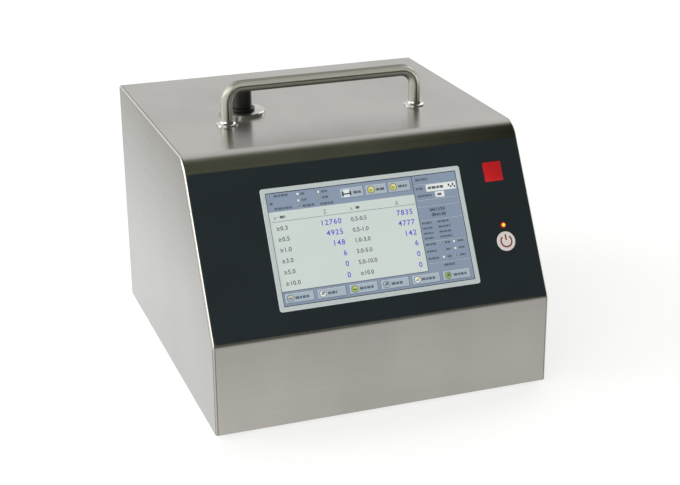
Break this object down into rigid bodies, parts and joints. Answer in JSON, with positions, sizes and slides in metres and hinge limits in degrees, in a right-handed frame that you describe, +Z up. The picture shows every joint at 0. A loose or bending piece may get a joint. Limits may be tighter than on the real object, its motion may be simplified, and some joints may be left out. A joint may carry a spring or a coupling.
{
  "type": "airborne particle counter",
  "caption": "Bench-top particle counter: folded stainless case with a sloping touch panel, a bent-rod carrying handle and a capped sampling inlet on top.",
  "frame": {"origin": "middle of the footprint box, on the surface that the feet stand on", "axes": "+Z up, -Y the operator side, +X to the operator's right; Y is the longest extent"},
  "size_m": [0.27, 0.304, 0.2326],
  "materials": {
    "brushed_case": "horizontally brushed stainless",
    "satin_handle": "satin polished stainless",
    "polished_inlet": "polished",
    "fasteners": "plain stainless",
    "dark_overlay": "smooth semi-gloss",
    "white_bezel": "satin",
    "touch_pane": "clear",
    "white_key": "satin",
    "amber_lens": "translucent",
    "black_rubber": "matt",
    "silicone_hose": "milky",
    "brass_fitting": "nickel plated",
    "display_module": "moulded",
    "zinc_sheet": "zinc plated",
    "machined_alloy": "black anodised",
    "pump_body": "cast",
    "motor_can": "satin",
    "black_plastic": "moulded",
    "filter_body": "moulded",
    "guard_wire": "bright wire",
    "socket_shell": "tinned",
    "circuit_board": "solder resist",
    "battery_wrap": "shrink film",
    "supply_case": "folded sheet"
  },
  "bodies": {
    "case": {"base_plate": "brushed_case", "battery_pack": "battery_wrap", "board_screws": "fasteners", "board_standoffs": "brass_fitting", "button_switch": "black_plastic", "case_screws": "fasteners", "detector_module": "black_plastic", "display_bracket": "zinc_sheet", "exhaust_filter": "filter_body", "exhaust_hoses": "silicone_hose", "exhaust_nut": "brass_fitting", "exhaust_port": "brass_fitting", "fan_frame": "black_plastic", "fan_guard": "guard_wire", "fan_screws": "fasteners", "filter_saddle": "black_plastic", "foot_screws": "fasteners", "handle_bar": "satin_handle", "handle_collars": "satin_handle", "handle_screws": "fasteners", "handle_washers": "fasteners", "housing_shell": "brushed_case", "inlet_fitting": "polished_inlet", "inlet_gasket": "black_rubber", "inlet_nut": "brass_fitting", "io_board": "circuit_board", "io_bracket": "zinc_sheet", "key_board": "circuit_board", "key_board_sleeves": "black_plastic", "laser_module": "machined_alloy", "lcd_module": "display_module", "m3_nuts": "fasteners", "main_board": "circuit_board", "mains_inlet": "black_plastic", "mains_inlet_screws": "fasteners", "network_port": "socket_shell", "optical_sensor": "machined_alloy", "panel_overlay": "dark_overlay", "power_led": "amber_lens", "power_supply": "supply_case", "pump_dampers": "black_rubber", "pump_motor": "motor_can", "pump_plate": "zinc_sheet", "rear_panel": "brushed_case", "rocker_housing": "black_plastic", "rubber_feet": "black_rubber", "sample_hose": "silicone_hose", "screen_bezel": "white_bezel", "sensor_stand": "zinc_sheet", "serial_port": "socket_shell", "serial_posts": "fasteners", "suction_hose": "silicone_hose", "touch_glass": "touch_pane", "vacuum_pump": "pump_body"},
    "power_key": {"power_button": "white_key"},
    "dust_cap": {"inlet_cap": "black_rubber"},
    "mains_switch_rocker": {"mains_rocker": "black_plastic"},
    "fan_wheel": {"fan_rotor": "black_plastic"}
  },
  "joints": [
    {"name": "power_key_press", "type": "slide", "parent": "case", "child": "power_key", "axis": [0, 0.866, -0.5], "range_m": [0, 0.0008], "stiffness_N_per_m": 400, "springref_m": -0.002},
    {"name": "dust_cap_lift", "type": "slide", "parent": "case", "child": "dust_cap", "axis": [0, 0, 1], "range_m": [0, 0.06]},
    {"name": "mains_rocker_tilt", "type": "hinge", "parent": "case", "child": "mains_switch_rocker", "pos_m": [-0.09, 0.137, 0.1], "axis": [1, 0, 0], "range_deg": [0, 16]},
    {"name": "fan_spin", "type": "hinge", "parent": "case", "child": "fan_wheel", "pos_m": [0, 0.129, 0.138], "axis": [0, 1, 0], "continuous": true}
  ]
}
